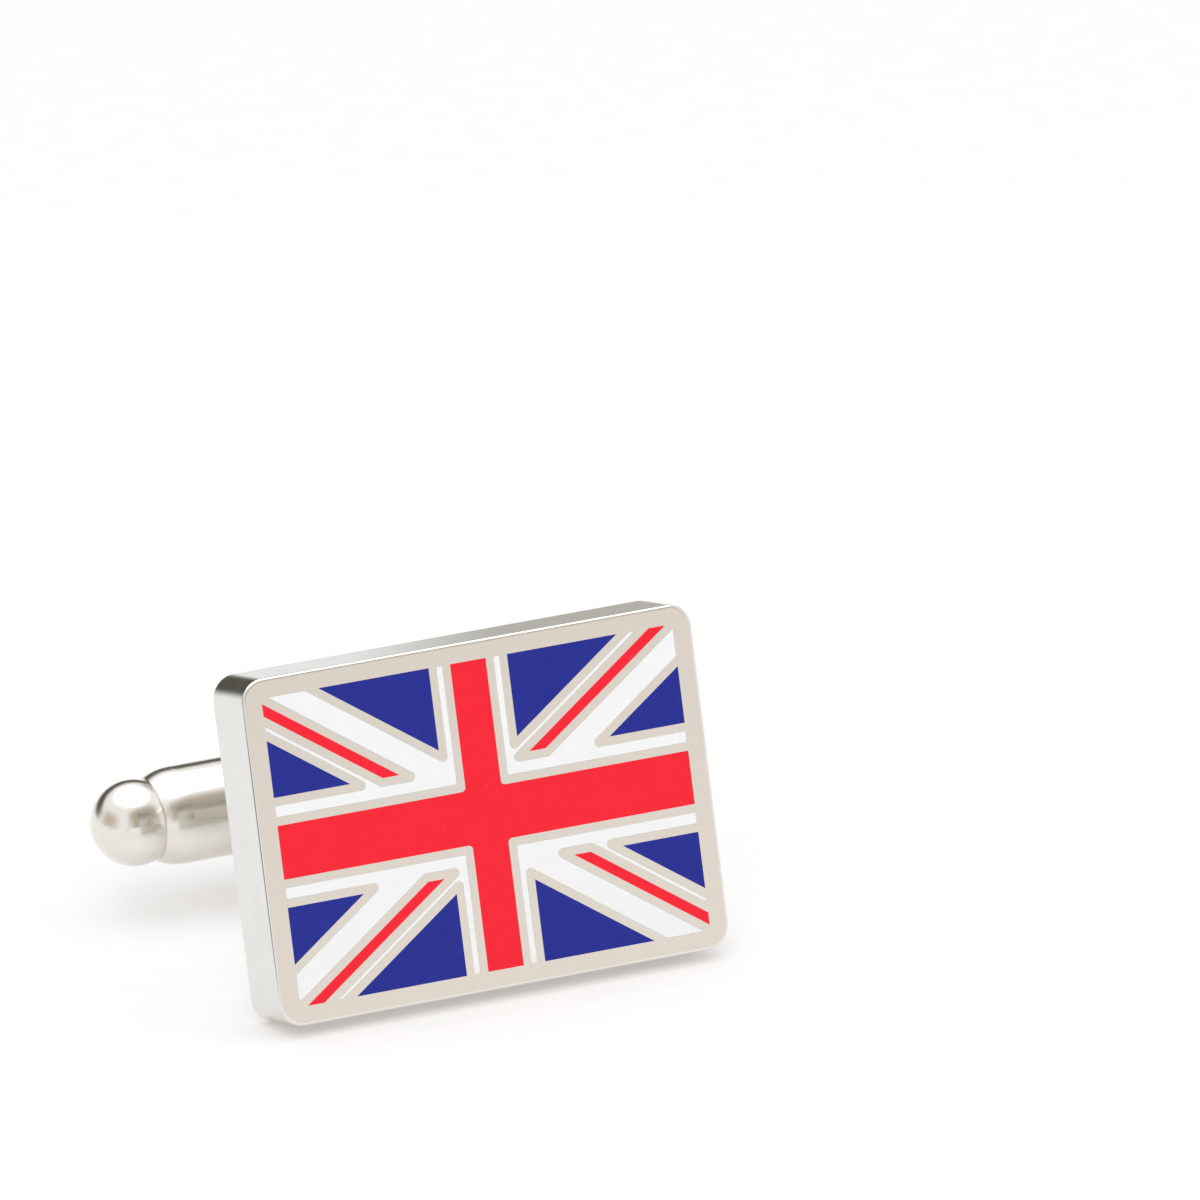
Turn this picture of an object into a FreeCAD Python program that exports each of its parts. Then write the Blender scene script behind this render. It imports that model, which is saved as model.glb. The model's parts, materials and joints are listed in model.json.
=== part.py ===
import FreeCAD, Part
import math
import os

import Sketcher

# A cufflink: an enamelled plate, a bent half-round post and a bullet toggle that swivels between its arms.
# Every piece is drawn with the plate upright: X along its long side, Y from its face to its back and Z up,
# from the middle of the face. The finished pieces lean back together, until the plate's lower rear edge and
# the tip of the lower arm both rest on the ground at z = 0.

SIZES = {
    # plate
    "plate_width": 19.1,
    "plate_height": 13.5,
    "plate_thickness": 2.85,
    "plate_corner": 0.95,
    "face_round": 0.12,
    "back_round": 0.12,
    # bare recess on the plate's back
    "recess_width": 9.8,
    "recess_height": 1.7,
    "recess_margin": 1.5,
    "recess_depth": 0.12,
    # enamel cells, parted by metal lines that stay flush with the enamel: a flag of the size given here, with
    # its widths measured on it, is stretched to the field that the plate's rim leaves
    "side_rim": 0.81,
    "top_rim": 0.75,
    "flag_width": 17.48,
    "flag_height": 12.0,
    "cell_depth": 0.6,
    "line_width": 0.32,
    "line_round": 0.18,
    "cross_arm_height": 2.09,
    "cross_stem_width": 1.51,
    "white_arm_height": 0.45,
    "white_stem_width": 0.27,
    "diagonal_reach": 1.36,
    "stripe_offset": 0.18,
    "stripe_width": 0.4,
    # post: one strip of half-round section bent into a stirrup, and the solder round its foot
    "post_drop": 0.2,
    "strip_width": 3.0,
    "strip_thickness": 1.4,
    "strip_edge": 0.25,
    "arm_gap": 4.3,
    "bend_radius": 0.9,
    "arm_overhang": 1.4,
    "arm_tip_bow": 1.3,
    "arm_tip_round": 0.35,
    "trim_margin": 0.5,
    "solder_film": 0.15,
    "solder_margin": 0.45,
    "solder_height": 0.9,
    "solder_round": 0.7,
    # hinge pin: square between the arms, round where it sits in them
    "pivot_reach": 13.85,
    "pin_square": 1.5,
    "trunnion_diameter": 1.0,
    "trunnion_length": 0.85,
    "trunnion_end_gap": 0.05,
    "trunnion_fit": 0.01,
    # bullet toggle
    "barrel_diameter": 3.85,
    "barrel_length": 13.8,
    "shoulder_length": 1.1,
    "mouth_diameter": 3.24,
    "bore_diameter": 2.9,
    "pin_hole_diameter": 2.2,
    "spot_diameter": 3.4,
    "spot_depth": 0.1,
    "ball_diameter": 3.4,
    "ball_overhang": 0.7,
    "spigot_length": 1.6,
    "spigot_fit": 0.01,
    # detent spring: a hairpin between the two spigots, whose legs lie on two flats of the pin
    "spring_thickness": 0.2,
    "spring_width": 1.6,
}

MATCH_TOLERANCE = 1e-6
LEFT, RIGHT = 1, -1

doc = FreeCAD.newDocument("cufflink")
sheet = doc.addObject("Spreadsheet::Sheet", "Sizes")
for row, (alias, value) in enumerate(SIZES.items(), start=1):
    sheet.set(f"A{row}", alias)
    sheet.set(f"B{row}", str(value))
    sheet.setAlias(f"B{row}", alias)
doc.recompute()


def size(alias):
    return float(getattr(sheet, alias))


# Drawing


def new_body(label):
    body = doc.addObject("PartDesign::Body", label)
    body.Label = label
    return body


def new_sketch(body, name, role, offset=None):
    """A sketch on one of the body's own planes, moved along the plane's normal by an expression."""
    sketch = body.newObject("Sketcher::SketchObject", name)
    plane = next(feature for feature in body.Origin.OriginFeatures if feature.Role == role)
    sketch.AttachmentSupport = [(plane, "")]
    sketch.MapMode = "FlatFace"
    if offset:
        sketch.setExpression("AttachmentOffset.Base.z", offset)
    doc.recompute()
    return sketch


def bind(sketch, kind, references, value, expression):
    index = sketch.addConstraint(Sketcher.Constraint(kind, *references, value))
    sketch.setExpression(f"Constraints[{index}]", expression)


def place(sketch, x, y):
    return FreeCAD.Vector(sketch.evalExpression(x), sketch.evalExpression(y), 0)


def draw_outline(sketch, corners, closed=True):
    """Straight runs through corners of (x, y, rounding), all given as expressions; rounding may be None."""
    first = sketch.GeometryCount
    count = len(corners)
    runs = count if closed else count - 1
    places = [place(sketch, x, y) for x, y, _ in corners]
    for run in range(runs):
        sketch.addGeometry(Part.LineSegment(places[run], places[(run + 1) % count]))
    for run in range(runs if closed else runs - 1):
        joint = Sketcher.Constraint("Coincident", first + run, 2, first + (run + 1) % runs, 1)
        sketch.addConstraint(joint)
    for corner, (x, y, _) in enumerate(corners):
        end = (first + corner, 1) if corner < runs else (first + runs - 1, 2)
        bind(sketch, "DistanceX", (-1, 1, *end), places[corner].x, x)
        bind(sketch, "DistanceY", (-1, 1, *end), places[corner].y, y)
    for corner, (_, _, rounding) in enumerate(corners):
        if rounding:
            round_corner(sketch, first + (corner - 1) % count, first + corner, rounding)


def round_corner(sketch, before, after, rounding):
    arc = sketch.GeometryCount
    radius = sketch.evalExpression(rounding)
    lines = sketch.Geometry[before], sketch.Geometry[after]
    middles = [(line.StartPoint + line.EndPoint) / 2 for line in lines]
    sketch.fillet(before, after, *middles, radius, True, True)
    bind(sketch, "Radius", (arc,), radius, rounding)


def draw_profile(sketch, corners):
    """A closed profile through corners of (x, y, arc), each given as expressions.

    The run that leaves a corner is straight where arc is None. Elsewhere arc is (centre x, centre y, turn),
    and turn is LEFT or RIGHT as the run is followed.
    """
    count = len(corners)
    places = [place(sketch, x, y) for x, y, _ in corners]
    ends = []
    for run, (_, _, arc) in enumerate(corners):
        start, stop = places[run], places[(run + 1) % count]
        if arc is None:
            sketch.addGeometry(Part.LineSegment(start, stop))
            ends.append((1, 2))
        else:
            ends.append(draw_arc(sketch, start, stop, *arc))
    for run in range(count):
        after = (run + 1) % count
        sketch.addConstraint(Sketcher.Constraint("Coincident", run, ends[run][1], after, ends[after][0]))
    for corner, (x, y, _) in enumerate(corners):
        bind(sketch, "DistanceX", (-1, 1, corner, ends[corner][0]), places[corner].x, x)
        bind(sketch, "DistanceY", (-1, 1, corner, ends[corner][0]), places[corner].y, y)


def draw_arc(sketch, start, stop, centre_x, centre_y, turn):
    """An arc between two places; returns which of its ends is the start and which the stop."""
    centre = place(sketch, centre_x, centre_y)
    begin, finish = (start, stop) if turn == LEFT else (stop, start)
    angles = [math.atan2(end.y - centre.y, end.x - centre.x) for end in (begin, finish)]
    circle = Part.Circle(centre, FreeCAD.Vector(0, 0, 1), (start - centre).Length)
    arc = sketch.addGeometry(Part.ArcOfCircle(circle, *angles))
    if abs(stop.x - start.x) > abs(stop.y - start.y):
        bind(sketch, "DistanceY", (-1, 1, arc, 3), centre.y, centre_y)
    else:
        bind(sketch, "DistanceX", (-1, 1, arc, 3), centre.x, centre_x)
    return (1, 2) if turn == LEFT else (2, 1)


def draw_circle(sketch, x, y, diameter):
    centre = place(sketch, x, y)
    radius = sketch.evalExpression(diameter) / 2
    circle = sketch.addGeometry(Part.Circle(centre, FreeCAD.Vector(0, 0, 1), radius))
    bind(sketch, "DistanceX", (-1, 1, circle, 3), centre.x, x)
    bind(sketch, "DistanceY", (-1, 1, circle, 3), centre.y, y)
    bind(sketch, "Diameter", (circle,), 2 * radius, diameter)


def rectangle(width, height, rounding=None, middle="0"):
    """Corners of a rectangle about (0, middle)."""
    x, y = f"({width}) / 2", f"({height}) / 2"
    return [(f"-{x}", f"{middle} - {y}", rounding), (x, f"{middle} - {y}", rounding),
            (x, f"{middle} + {y}", rounding), (f"-{x}", f"{middle} + {y}", rounding)]


# Features


def pad(body, name, sketch, length, reverse=False, midplane=False):
    feature = body.newObject("PartDesign::Pad", name)
    feature.Profile = sketch
    feature.Reversed = reverse
    feature.Midplane = midplane
    feature.setExpression("Length", length)
    doc.recompute()
    return feature


def pocket(body, name, sketch, length, reverse=False, midplane=False):
    uncut = body.Shape.Volume
    feature = body.newObject("PartDesign::Pocket", name)
    feature.Profile = sketch
    feature.Reversed = reverse
    feature.Midplane = midplane
    feature.setExpression("Length", length)
    doc.recompute()
    if body.Shape.Volume >= uncut:
        raise RuntimeError(f"{body.Label}: {name} cuts nothing")
    return feature


def revolve(body, name, sketch):
    """A full turn about the sketch's own X axis."""
    feature = body.newObject("PartDesign::Revolution", name)
    feature.Profile = sketch
    feature.ReferenceAxis = (sketch, ["H_Axis"])
    doc.recompute()
    return feature


def half_turn_pattern(body, name, original, sketch):
    """A second copy half a turn away about the sketch's normal."""
    feature = body.newObject("PartDesign::PolarPattern", name)
    feature.Originals = [original]
    feature.Axis = (sketch, ["N_Axis"])
    feature.Occurrences = 2
    body.Tip = feature
    doc.recompute()
    return feature


def round_edges(body, name, base, radius, wanted):
    """Rounds those edges of the base feature whose every vertex passes the test."""
    edges = []
    for number, edge in enumerate(base.Shape.Edges, start=1):
        if all(wanted(vertex) for vertex in edge.Vertexes):
            edges.append(f"Edge{number}")
    feature = body.newObject("PartDesign::Fillet", name)
    feature.Base = (base, edges)
    feature.setExpression("Radius", radius)
    doc.recompute()
    return feature


def at_depth(depth):
    return lambda vertex: abs(vertex.Y - depth) < MATCH_TOLERANCE


def on_crown(depth, height):
    return lambda vertex: max(abs(vertex.Y - depth), abs(abs(vertex.Z) - height)) < MATCH_TOLERANCE


# Outlines of the enamel cells, as seen from the front. A quarter is drawn from the middle of the face
# outwards: side is 1 to the right and -1 to the left. The white band lies along the flag's diagonal, and the
# red stripe runs beside the diagonal, above it on the right and below it on the left.

FLAG_X = "(Sizes.flag_width / 2)"
FLAG_Z = "(Sizes.flag_height / 2)"
RIGHT_SIDE, LEFT_SIDE = 1, -1
SLOPE = f"({FLAG_Z} / {FLAG_X})"
STRETCH = f"sqrt(1 + {SLOPE} * {SLOPE})"
WHITE_X = "(Sizes.cross_stem_width / 2 + Sizes.line_width)"
WHITE_Z = "(Sizes.cross_arm_height / 2 + Sizes.line_width)"
LINE_X = f"({WHITE_X} + Sizes.white_stem_width)"
LINE_Z = f"({WHITE_Z} + Sizes.white_arm_height)"
BLUE_X = f"({LINE_X} + Sizes.line_width)"
BLUE_Z = f"({LINE_Z} + Sizes.line_width)"
BLUE_REACH = "Sizes.diagonal_reach"
WHITE_REACH = "(Sizes.diagonal_reach - Sizes.line_width)"
STRIPE_NEAR = "Sizes.stripe_offset"
STRIPE_FAR = "(Sizes.stripe_offset + Sizes.stripe_width)"
BORDER_NEAR = "(Sizes.stripe_offset - Sizes.line_width)"
BORDER_FAR = "(Sizes.stripe_offset + Sizes.stripe_width + Sizes.line_width)"
LINE_ROUND = "Sizes.line_round"


def height_beside_diagonal(x, reach):
    return f"({SLOPE} * {x} + {STRETCH} * ({reach}))"


def width_beside_diagonal(z, reach):
    return f"(({z} - {STRETCH} * ({reach})) / {SLOPE})"


def cross_outline():
    stem, arm = "Sizes.cross_stem_width / 2", "Sizes.cross_arm_height / 2"
    return [(stem, arm, LINE_ROUND), (stem, FLAG_Z, None), (f"-{stem}", FLAG_Z, None),
            (f"-{stem}", arm, LINE_ROUND), (f"-{FLAG_X}", arm, None), (f"-{FLAG_X}", f"-{arm}", None),
            (f"-{stem}", f"-{arm}", LINE_ROUND), (f"-{stem}", f"-{FLAG_Z}", None),
            (stem, f"-{FLAG_Z}", None), (stem, f"-{arm}", LINE_ROUND), (FLAG_X, f"-{arm}", None),
            (FLAG_X, arm, None)]


def blue_large_outline(_):
    return [(BLUE_X, FLAG_Z, None), (BLUE_X, height_beside_diagonal(BLUE_X, BLUE_REACH), None),
            (width_beside_diagonal(FLAG_Z, BLUE_REACH), FLAG_Z, None)]


def blue_small_outline(_):
    return [(FLAG_X, BLUE_Z, None), (FLAG_X, height_beside_diagonal(FLAG_X, f"-{BLUE_REACH}"), None),
            (width_beside_diagonal(BLUE_Z, f"-{BLUE_REACH}"), BLUE_Z, None)]


def red_stripe_outline(side):
    near, far = f"{side} * {STRIPE_NEAR}", f"{side} * {STRIPE_FAR}"
    inner = [(width_beside_diagonal(BLUE_Z, near), BLUE_Z, None),
             (width_beside_diagonal(BLUE_Z, far), BLUE_Z, None)]
    if side > 0:
        return inner + [(width_beside_diagonal(FLAG_Z, far), FLAG_Z, None),
                        (width_beside_diagonal(FLAG_Z, near), FLAG_Z, None)]
    return inner + [(FLAG_X, height_beside_diagonal(FLAG_X, far), None),
                    (FLAG_X, height_beside_diagonal(FLAG_X, near), None)]


def white_field_outline(side):
    """One cell: the two bars beside the cross, and the bands that run out between the lines."""
    low, high = (BORDER_NEAR, BORDER_FAR) if side > 0 else (f"-{BORDER_FAR}", f"-{BORDER_NEAR}")
    return [(WHITE_X, WHITE_Z, None),
            (FLAG_X, WHITE_Z, None),
            (FLAG_X, LINE_Z, None),
            (width_beside_diagonal(LINE_Z, f"-{WHITE_REACH}"), LINE_Z, LINE_ROUND),
            (FLAG_X, height_beside_diagonal(FLAG_X, f"-{WHITE_REACH}"), None),
            (FLAG_X, height_beside_diagonal(FLAG_X, low), None),
            (width_beside_diagonal(LINE_Z, low), LINE_Z, LINE_ROUND),
            (width_beside_diagonal(LINE_Z, high), LINE_Z, LINE_ROUND),
            (width_beside_diagonal(FLAG_Z, high), FLAG_Z, None),
            (width_beside_diagonal(FLAG_Z, WHITE_REACH), FLAG_Z, None),
            (LINE_X, height_beside_diagonal(LINE_X, WHITE_REACH), LINE_ROUND),
            (LINE_X, FLAG_Z, None),
            (WHITE_X, FLAG_Z, None)]


ACROSS = f"((Sizes.plate_width / 2 - Sizes.side_rim) / {FLAG_X})"
UPWARD = f"((Sizes.plate_height / 2 - Sizes.top_rim) / {FLAG_Z})"


def fitted(outline, side=RIGHT_SIDE):
    """An outline of the flag on one side of the face, stretched to the field inside the rim."""
    return [(f"{side} * {ACROSS} * ({x})", f"{UPWARD} * ({z})", rounding) for x, z, rounding in outline]


QUARTER_CELLS = {
    "white_field": white_field_outline,
    "blue_large": blue_large_outline,
    "blue_small": blue_small_outline,
    "red_stripe": red_stripe_outline,
}
UPPER_SIDES = {"right": RIGHT_SIDE, "left": LEFT_SIDE}
OPPOSITE = {"right": "left", "left": "right"}


# Plate


def make_face_plate():
    body = new_body("face_plate")
    sketch = new_sketch(body, "plate_outline", "XZ_Plane")
    draw_outline(sketch, rectangle("Sizes.plate_width", "Sizes.plate_height", "Sizes.plate_corner"))
    blank = pad(body, "plate_blank", sketch, "Sizes.plate_thickness", reverse=True)
    faced = round_edges(body, "face_edge", blank, "Sizes.face_round", at_depth(0))
    round_edges(body, "back_edge", faced, "Sizes.back_round", at_depth(size("plate_thickness")))

    sketch = new_sketch(body, "recess_outline", "XZ_Plane", "-Sizes.plate_thickness")
    middle = "(Sizes.recess_margin + Sizes.recess_height / 2 - Sizes.plate_height / 2)"
    draw_outline(sketch, rectangle("Sizes.recess_width", "Sizes.recess_height", None, middle))
    pocket(body, "recess", sketch, "Sizes.recess_depth", reverse=True)

    sketch = new_sketch(body, "cross_outline", "XZ_Plane")
    draw_outline(sketch, fitted(cross_outline()))
    pocket(body, "cross_cell", sketch, "Sizes.cell_depth")
    for name, side in UPPER_SIDES.items():
        sketch = new_sketch(body, f"upper_{name}_outlines", "XZ_Plane")
        for outline in QUARTER_CELLS.values():
            draw_outline(sketch, fitted(outline(side), side))
        cells = pocket(body, f"upper_{name}_cells", sketch, "Sizes.cell_depth")
        half_turn_pattern(body, f"{name}_cells_and_opposite", cells, sketch)
    return body


# Enamel: each filling is as deep as its cell and flush with the rim


def make_enamel(label, outline):
    body = new_body(label)
    sketch = new_sketch(body, f"{label}_outline", "XZ_Plane")
    draw_outline(sketch, outline)
    pad(body, f"{label}_fill", sketch, "Sizes.cell_depth", reverse=True)
    return body


# Post


WEB_INNER = "(Sizes.plate_thickness + Sizes.solder_film + Sizes.strip_thickness)"
ARM_TIP = "(Sizes.plate_thickness + Sizes.pivot_reach + Sizes.arm_overhang)"
PIVOT = "(Sizes.plate_thickness + Sizes.pivot_reach)"
ARM_INNER = "(Sizes.arm_gap / 2)"
ARM_OUTER = "(Sizes.arm_gap / 2 + Sizes.strip_thickness)"
STRIP_HALF = "(Sizes.strip_width / 2)"
CROWN_FOOT = "(Sizes.arm_gap / 2 + Sizes.strip_edge)"


def sweep_strip(body, kind):
    """Draws the strip's path and half-round section in a body and sweeps the one along the other."""
    path = new_sketch(body, "strip_path", "YZ_Plane")
    bend = "Sizes.bend_radius"
    draw_outline(path, [(ARM_TIP, ARM_INNER, None), (WEB_INNER, ARM_INNER, bend),
                        (WEB_INNER, f"-{ARM_INNER}", bend), (ARM_TIP, f"-{ARM_INNER}", None)], closed=False)
    section = new_sketch(body, "strip_section", "XZ_Plane", f"-{ARM_TIP}")
    rise = "(Sizes.strip_thickness - Sizes.strip_edge)"
    centre = f"{ARM_OUTER} - ({STRIP_HALF} * {STRIP_HALF} + {rise} * {rise}) / (2 * {rise})"
    draw_profile(section, [(f"-{STRIP_HALF}", ARM_INNER, None), (STRIP_HALF, ARM_INNER, None),
                           (STRIP_HALF, CROWN_FOOT, ("0", centre, LEFT)), (f"-{STRIP_HALF}", CROWN_FOOT, None)])
    strip = body.newObject(kind, "bent_strip")
    strip.Profile = section
    strip.Spine = path
    doc.recompute()
    return strip


def make_stirrup():
    body = new_body("stirrup")
    sweep_strip(body, "PartDesign::AdditivePipe")

    sketch = new_sketch(body, "arm_end_trim", "XY_Plane")
    shoulder = f"({ARM_TIP} - Sizes.arm_tip_bow)"
    bow = "Sizes.arm_tip_bow"
    centre = f"{ARM_TIP} - ({STRIP_HALF} * {STRIP_HALF} + {bow} * {bow}) / (2 * {bow})"
    side = f"({STRIP_HALF} + Sizes.trim_margin)"
    far = f"{ARM_TIP} + Sizes.trim_margin"
    draw_profile(sketch, [(STRIP_HALF, shoulder, ("0", centre, LEFT)), (f"-{STRIP_HALF}", shoulder, None),
                          (f"-{side}", shoulder, None), (f"-{side}", far, None), (side, far, None),
                          (side, shoulder, None)])
    trimmed = pocket(body, "arm_ends", sketch, f"2 * ({ARM_OUTER} + Sizes.trim_margin)", midplane=True)
    crown = on_crown(sketch.evalExpression(shoulder), sketch.evalExpression(CROWN_FOOT))
    round_edges(body, "arm_end_edges", trimmed, "Sizes.arm_tip_round", crown)

    sketch = new_sketch(body, "trunnion_holes_outline", "XY_Plane")
    draw_circle(sketch, "0", PIVOT, "Sizes.trunnion_diameter + 2 * Sizes.trunnion_fit")
    pocket(body, "trunnion_holes", sketch,
           "Sizes.arm_gap + 2 * (Sizes.trunnion_length + Sizes.trunnion_end_gap)", midplane=True)
    return body


def make_solder_bead():
    """A low mound on the plate's back that the foot of the stirrup is sunk in."""
    body = new_body("solder_bead")
    sketch = new_sketch(body, "mound_outline", "XZ_Plane", "-Sizes.plate_thickness")
    width = "Sizes.strip_width + 2 * Sizes.solder_margin"
    height = "Sizes.arm_gap + 2 * Sizes.solder_margin"
    draw_outline(sketch, rectangle(width, height, STRIP_HALF))
    mound = pad(body, "mound", sketch, "Sizes.solder_height", reverse=True)
    top = size("plate_thickness") + size("solder_height")
    round_edges(body, "mound_edge", mound, "Sizes.solder_round", at_depth(top))
    solid = body.Shape.Volume
    sweep_strip(body, "PartDesign::SubtractivePipe")
    if body.Shape.Volume >= solid:
        raise RuntimeError("the strip leaves no seat in the solder")
    return body


def make_hinge_pin():
    """Drawn about the pivot: a square shank, with a round trunnion at each end."""
    body = new_body("hinge_pin")
    sketch = new_sketch(body, "shank_outline", "XY_Plane")
    draw_outline(sketch, rectangle("Sizes.pin_square", "Sizes.pin_square"))
    pad(body, "shank", sketch, "Sizes.arm_gap", midplane=True)
    sketch = new_sketch(body, "trunnion_outline", "XY_Plane")
    draw_circle(sketch, "0", "0", "Sizes.trunnion_diameter")
    pad(body, "trunnions", sketch, "Sizes.arm_gap + 2 * Sizes.trunnion_length", midplane=True)
    return body


# Toggle, drawn about the pivot with its own axis along X


BARREL_END = "(Sizes.barrel_length / 2)"
SPIGOT_END = "(Sizes.barrel_length / 2 - Sizes.spigot_length)"


def make_toggle_barrel():
    body = new_body("toggle_barrel")
    sketch = new_sketch(body, "barrel_profile", "XY_Plane")
    wall, mouth, bore = "Sizes.barrel_diameter / 2", "Sizes.mouth_diameter / 2", "Sizes.bore_diameter / 2"
    shoulder = f"({BARREL_END} - Sizes.shoulder_length)"
    fall = f"({wall} - {mouth})"
    centre_height = (f"{wall} - (Sizes.shoulder_length * Sizes.shoulder_length + {fall} * {fall})"
                     f" / (2 * {fall})")
    draw_profile(sketch, [(f"-{BARREL_END}", bore, None), (BARREL_END, bore, None),
                          (BARREL_END, mouth, (shoulder, centre_height, LEFT)), (shoulder, wall, None),
                          (f"-{shoulder}", wall, (f"-{shoulder}", centre_height, LEFT)),
                          (f"-{BARREL_END}", mouth, None)])
    revolve(body, "tube", sketch)

    sketch = new_sketch(body, "pin_hole_outline", "XY_Plane")
    draw_circle(sketch, "0", "0", "Sizes.pin_hole_diameter")
    pocket(body, "pin_holes", sketch, "Sizes.barrel_diameter", midplane=True)
    for name, direction in (("upper", 1), ("lower", -1)):
        offset = f"{direction} * (Sizes.barrel_diameter / 2 - Sizes.spot_depth)"
        sketch = new_sketch(body, f"{name}_spot_outline", "XY_Plane", offset)
        draw_circle(sketch, "0", "0", "Sizes.spot_diameter")
        pocket(body, f"{name}_spot", sketch, "Sizes.spot_depth", reverse=direction > 0)
    return body


def make_end_cap(label):
    """A ball with a spigot that is pressed into the barrel; drawn for the right end."""
    body = new_body(label)
    sketch = new_sketch(body, f"{label}_profile", "XY_Plane")
    spigot = "(Sizes.bore_diameter / 2 - Sizes.spigot_fit)"
    centre = f"({BARREL_END} + Sizes.ball_overhang)"
    ball = "Sizes.ball_diameter / 2"
    collar = f"sqrt({ball} * {ball} - Sizes.ball_overhang * Sizes.ball_overhang)"
    draw_profile(sketch, [(SPIGOT_END, "0", None), (f"{centre} + {ball}", "0", (centre, "0", LEFT)),
                          (BARREL_END, collar, None), (BARREL_END, spigot, None), (SPIGOT_END, spigot, None)])
    revolve(body, f"{label}_turning", sketch)
    return body


def make_detent_spring():
    """A hairpin of flat strip, open to the right, whose legs lie on the pin's front and rear flats."""
    body = new_body("detent_spring")
    sketch = new_sketch(body, "hairpin_profile", "XY_Plane")
    inner = "Sizes.pin_square / 2"
    outer = f"({inner} + Sizes.spring_thickness)"
    bend = f"({outer} - {SPIGOT_END})"
    draw_profile(sketch, [(SPIGOT_END, outer, None), (bend, outer, (bend, "0", LEFT)),
                          (bend, f"-{outer}", None), (SPIGOT_END, f"-{outer}", None),
                          (SPIGOT_END, f"-{inner}", None), (bend, f"-{inner}", (bend, "0", RIGHT)),
                          (bend, inner, None), (SPIGOT_END, inner, None)])
    pad(body, "hairpin", sketch, "Sizes.spring_width", midplane=True)
    return body


# Lean of the whole cufflink on the ground


def rest_placement():
    """Turns the upright cufflink about X until the two lowest roundings touch z = 0."""
    back_edge = (size("plate_thickness") - size("back_round"), size("back_round") - size("plate_height") / 2)
    tip = size("plate_thickness") + size("pivot_reach") + size("arm_overhang")
    underside = size("post_drop") + size("arm_gap") / 2 + size("strip_thickness")
    arm_tip = (tip - size("arm_tip_round"), size("arm_tip_round") - underside)
    along, rise = arm_tip[0] - back_edge[0], arm_tip[1] - back_edge[1]
    lean = math.atan2(rise, along)
    lean -= math.asin((size("arm_tip_round") - size("back_round")) / math.hypot(along, rise))
    lift = size("back_round") + back_edge[0] * math.sin(lean) - back_edge[1] * math.cos(lean)
    turn = FreeCAD.Rotation(FreeCAD.Vector(1, 0, 0), -math.degrees(lean))
    return FreeCAD.Placement(FreeCAD.Vector(0, 0, lift), turn)


def shifted(x, y, z):
    return FreeCAD.Placement(FreeCAD.Vector(x, y, z), FreeCAD.Rotation())


def centre_in_depth(placement, shapes):
    """Moves a placement along Y so that the box round the placed shapes has its middle at y = 0."""
    boxes = [shape.transformed(placement.toMatrix()).optimalBoundingBox(False) for shape in shapes]
    middle = (min(box.YMin for box in boxes) + max(box.YMax for box in boxes)) / 2
    return shifted(0, -middle, 0) * placement


HALF_TURN = FreeCAD.Placement(FreeCAD.Vector(), FreeCAD.Rotation(FreeCAD.Vector(0, 1, 0), 180))
END_FOR_END = FreeCAD.Placement(FreeCAD.Vector(), FreeCAD.Rotation(FreeCAD.Vector(0, 0, 1), 180))

plate = make_face_plate()
stirrup = make_stirrup()
drop = shifted(0, 0, -size("post_drop"))
rest = centre_in_depth(rest_placement(), [plate.Shape, stirrup.Shape.transformed(drop.toMatrix())])
foot = rest * drop
pivot = foot * shifted(0, size("plate_thickness") + size("pivot_reach"), 0)

placed = [(plate, rest), (make_enamel("red_cross", fitted(cross_outline())), rest)]
for name, side in UPPER_SIDES.items():
    for cell, outline in QUARTER_CELLS.items():
        corners = fitted(outline(side), side)
        placed.append((make_enamel(f"{cell}_upper_{name}", corners), rest))
        placed.append((make_enamel(f"{cell}_lower_{OPPOSITE[name]}", corners), rest * HALF_TURN))
placed.append((stirrup, foot))
placed.append((make_solder_bead(), foot))
placed.append((make_hinge_pin(), pivot))
placed.append((make_toggle_barrel(), pivot))
placed.append((make_end_cap("end_cap_right"), pivot))
placed.append((make_end_cap("end_cap_left"), pivot * END_FOR_END))
placed.append((make_detent_spring(), pivot))
for piece, placement in placed:
    piece.Placement = placement
doc.recompute()

for item in doc.Objects:
    if "Invalid" in item.State or "Error" in item.State:
        raise RuntimeError(f"{item.Label} failed: {item.State}")
for piece, _ in placed:
    if piece.Shape.isNull() or not piece.Shape.isValid():
        raise RuntimeError(f"{piece.Label} has no valid shape")

os.makedirs("parts", exist_ok=True)
for piece, _ in placed:
    piece.Shape.exportStep(f"parts/{piece.Label}.step")
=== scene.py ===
import json
import math

import bmesh
import bpy
from mathutils import Matrix, Vector


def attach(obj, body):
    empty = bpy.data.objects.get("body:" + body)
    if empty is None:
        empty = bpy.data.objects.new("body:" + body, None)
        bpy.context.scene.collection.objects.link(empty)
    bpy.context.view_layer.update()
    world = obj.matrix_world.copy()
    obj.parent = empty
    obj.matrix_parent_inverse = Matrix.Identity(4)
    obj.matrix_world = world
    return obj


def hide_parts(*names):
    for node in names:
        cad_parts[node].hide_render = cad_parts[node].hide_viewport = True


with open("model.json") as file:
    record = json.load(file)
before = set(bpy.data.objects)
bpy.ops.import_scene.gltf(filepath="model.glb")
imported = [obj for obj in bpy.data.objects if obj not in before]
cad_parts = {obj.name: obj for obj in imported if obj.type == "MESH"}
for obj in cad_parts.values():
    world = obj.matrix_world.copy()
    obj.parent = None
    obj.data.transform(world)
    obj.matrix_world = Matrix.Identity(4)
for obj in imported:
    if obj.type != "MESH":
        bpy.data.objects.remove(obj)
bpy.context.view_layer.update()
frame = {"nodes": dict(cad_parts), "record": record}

MM = 0.001

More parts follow.
